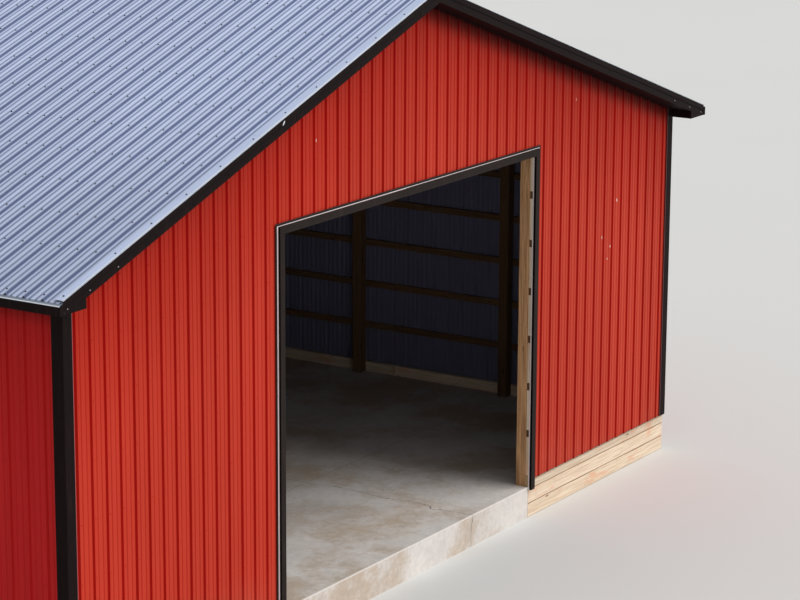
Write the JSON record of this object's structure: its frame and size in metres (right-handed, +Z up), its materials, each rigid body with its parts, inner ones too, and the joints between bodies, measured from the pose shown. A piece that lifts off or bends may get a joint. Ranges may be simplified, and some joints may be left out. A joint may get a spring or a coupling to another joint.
{
  "type": "post-frame barn",
  "caption": "Gabled post-frame barn with red ribbed steel walls, a black ribbed roof and trims, an open doorway in the gable and its timber frame and floor inside.",
  "frame": {"origin": "On the ground under the middle of the building, at the foot of the skirt boards.", "axes": "+X to the right along the front gable, +Y back into the building, +Z up. The doorway faces -Y."},
  "size_m": [13.636, 12.812, 6.998],
  "materials": {
    "red_steel": "satin",
    "black_steel": "satin",
    "roof_steel": "satin",
    "grey_trim": "satin",
    "new_lumber": "sawn",
    "old_lumber": "sawn",
    "concrete": "trowelled"
  },
  "bodies": {
    "root": {"back_wall": "red_steel", "base_trim": "grey_trim", "corner_trim_back_left": "black_steel", "corner_trim_back_right": "black_steel", "corner_trim_front_left": "black_steel", "corner_trim_front_right": "black_steel", "door_flashings": "grey_trim", "door_nailers": "new_lumber", "door_posts": "old_lumber", "door_trim_head": "black_steel", "door_trim_left": "black_steel", "door_trim_right": "black_steel", "eave_boards": "old_lumber", "eave_returns_back": "black_steel", "eave_returns_front": "black_steel", "eave_soffits": "black_steel", "eave_trims": "black_steel", "floor_slab": "concrete", "front_wall_left": "red_steel", "front_wall_over_door": "red_steel", "front_wall_right": "red_steel", "gable_posts_back": "old_lumber", "gable_posts_front": "old_lumber", "gable_soffits": "black_steel", "girts_back": "old_lumber", "girts_front": "old_lumber", "girts_left": "old_lumber", "girts_right": "old_lumber", "knee_braces": "old_lumber", "left_wall": "red_steel", "purlins_left": "old_lumber", "purlins_right": "old_lumber", "rake_boards": "old_lumber", "rake_trim_back_left": "black_steel", "rake_trim_back_right": "black_steel", "rake_trim_front_left": "black_steel", "rake_trim_front_right": "black_steel", "ridge_cap": "roof_steel", "right_wall": "red_steel", "roof_left": "roof_steel", "roof_right": "roof_steel", "side_posts_left": "old_lumber", "side_posts_right": "old_lumber", "skirt_back": "new_lumber", "skirt_front": "new_lumber", "skirt_left": "new_lumber", "skirt_right": "new_lumber", "truss_bottom_chords": "old_lumber", "truss_carriers": "old_lumber", "truss_top_chords": "old_lumber", "truss_webs": "old_lumber"}
  },
  "joints": []
}
